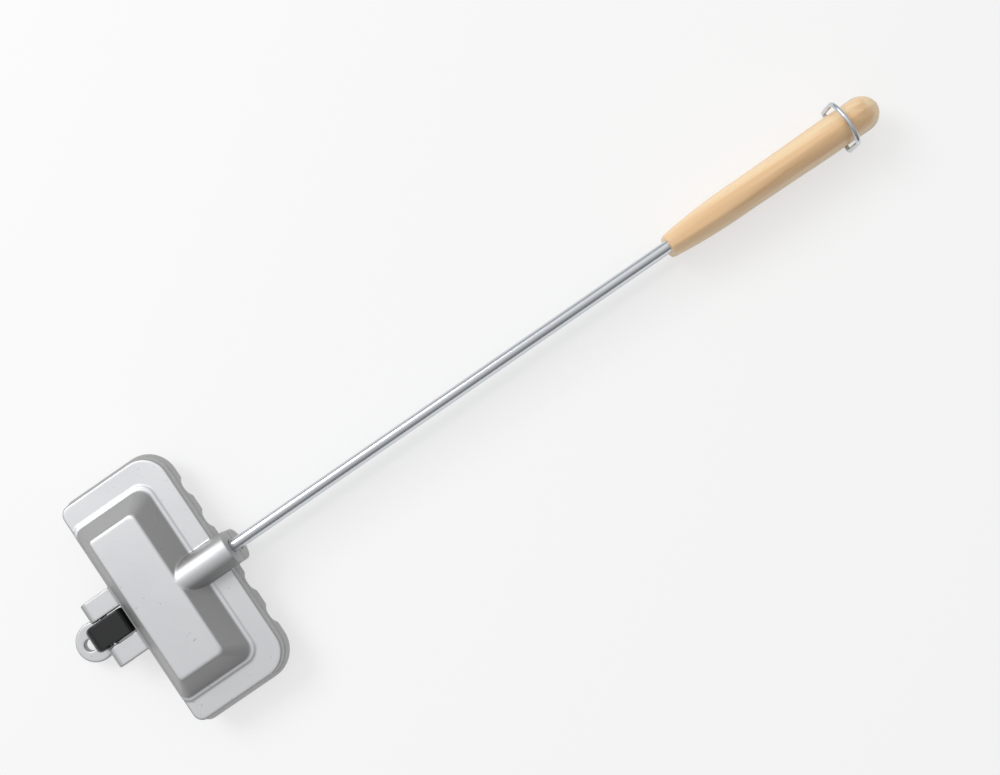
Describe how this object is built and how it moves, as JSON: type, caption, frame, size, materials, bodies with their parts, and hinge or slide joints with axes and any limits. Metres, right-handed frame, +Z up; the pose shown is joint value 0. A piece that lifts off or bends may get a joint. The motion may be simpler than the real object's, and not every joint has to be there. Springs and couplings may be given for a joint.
{
  "type": "sandwich iron",
  "caption": "Long-handled hinged sandwich iron: two cast half shells with a raised pocket, steel rods, wooden half grips, a wire lock bail and a hanging eye.",
  "frame": {"origin": "middle of the overall length and width, on the plane that the lower pocket and the lower grip rest on", "axes": "+X along the rods from the hinge end to the grips' end, +Y across the head along its long side, +Z up"},
  "size_m": [0.6644, 0.1804, 0.0469],
  "materials": {
    "cast_shell": "satin cast aluminium, lightly polished flats",
    "rod_steel": "bright drawn steel",
    "pin_steel": "plain steel",
    "grip_wood": "pale clear-lacquered wood",
    "black_enamel": "gloss black enamel"
  },
  "bodies": {
    "lower_half": {"lower_shell": "cast_shell", "lower_rod": "rod_steel", "lower_grip": "grip_wood", "hinge_tongue": "black_enamel", "tongue_rivets": "pin_steel", "hinge_pin": "pin_steel", "lower_boss_pin": "pin_steel", "lower_grip_screws": "pin_steel"},
    "upper_half": {"upper_shell": "cast_shell", "upper_rod": "rod_steel", "upper_grip": "grip_wood", "upper_boss_pin": "pin_steel", "upper_grip_screws": "pin_steel"},
    "lock": {"lock_bail": "rod_steel"}
  },
  "joints": [
    {"name": "head_hinge", "type": "hinge", "parent": "lower_half", "child": "upper_half", "pos_m": [-0.30255, 0, 0.0215], "axis": [0, -1, 0], "range_deg": [0, 160]},
    {"name": "lock_swing", "type": "hinge", "parent": "lower_half", "child": "lock", "pos_m": [0.30252, 0, 0.0115], "axis": [0, 1, 0], "range_deg": [0, 105]}
  ]
}
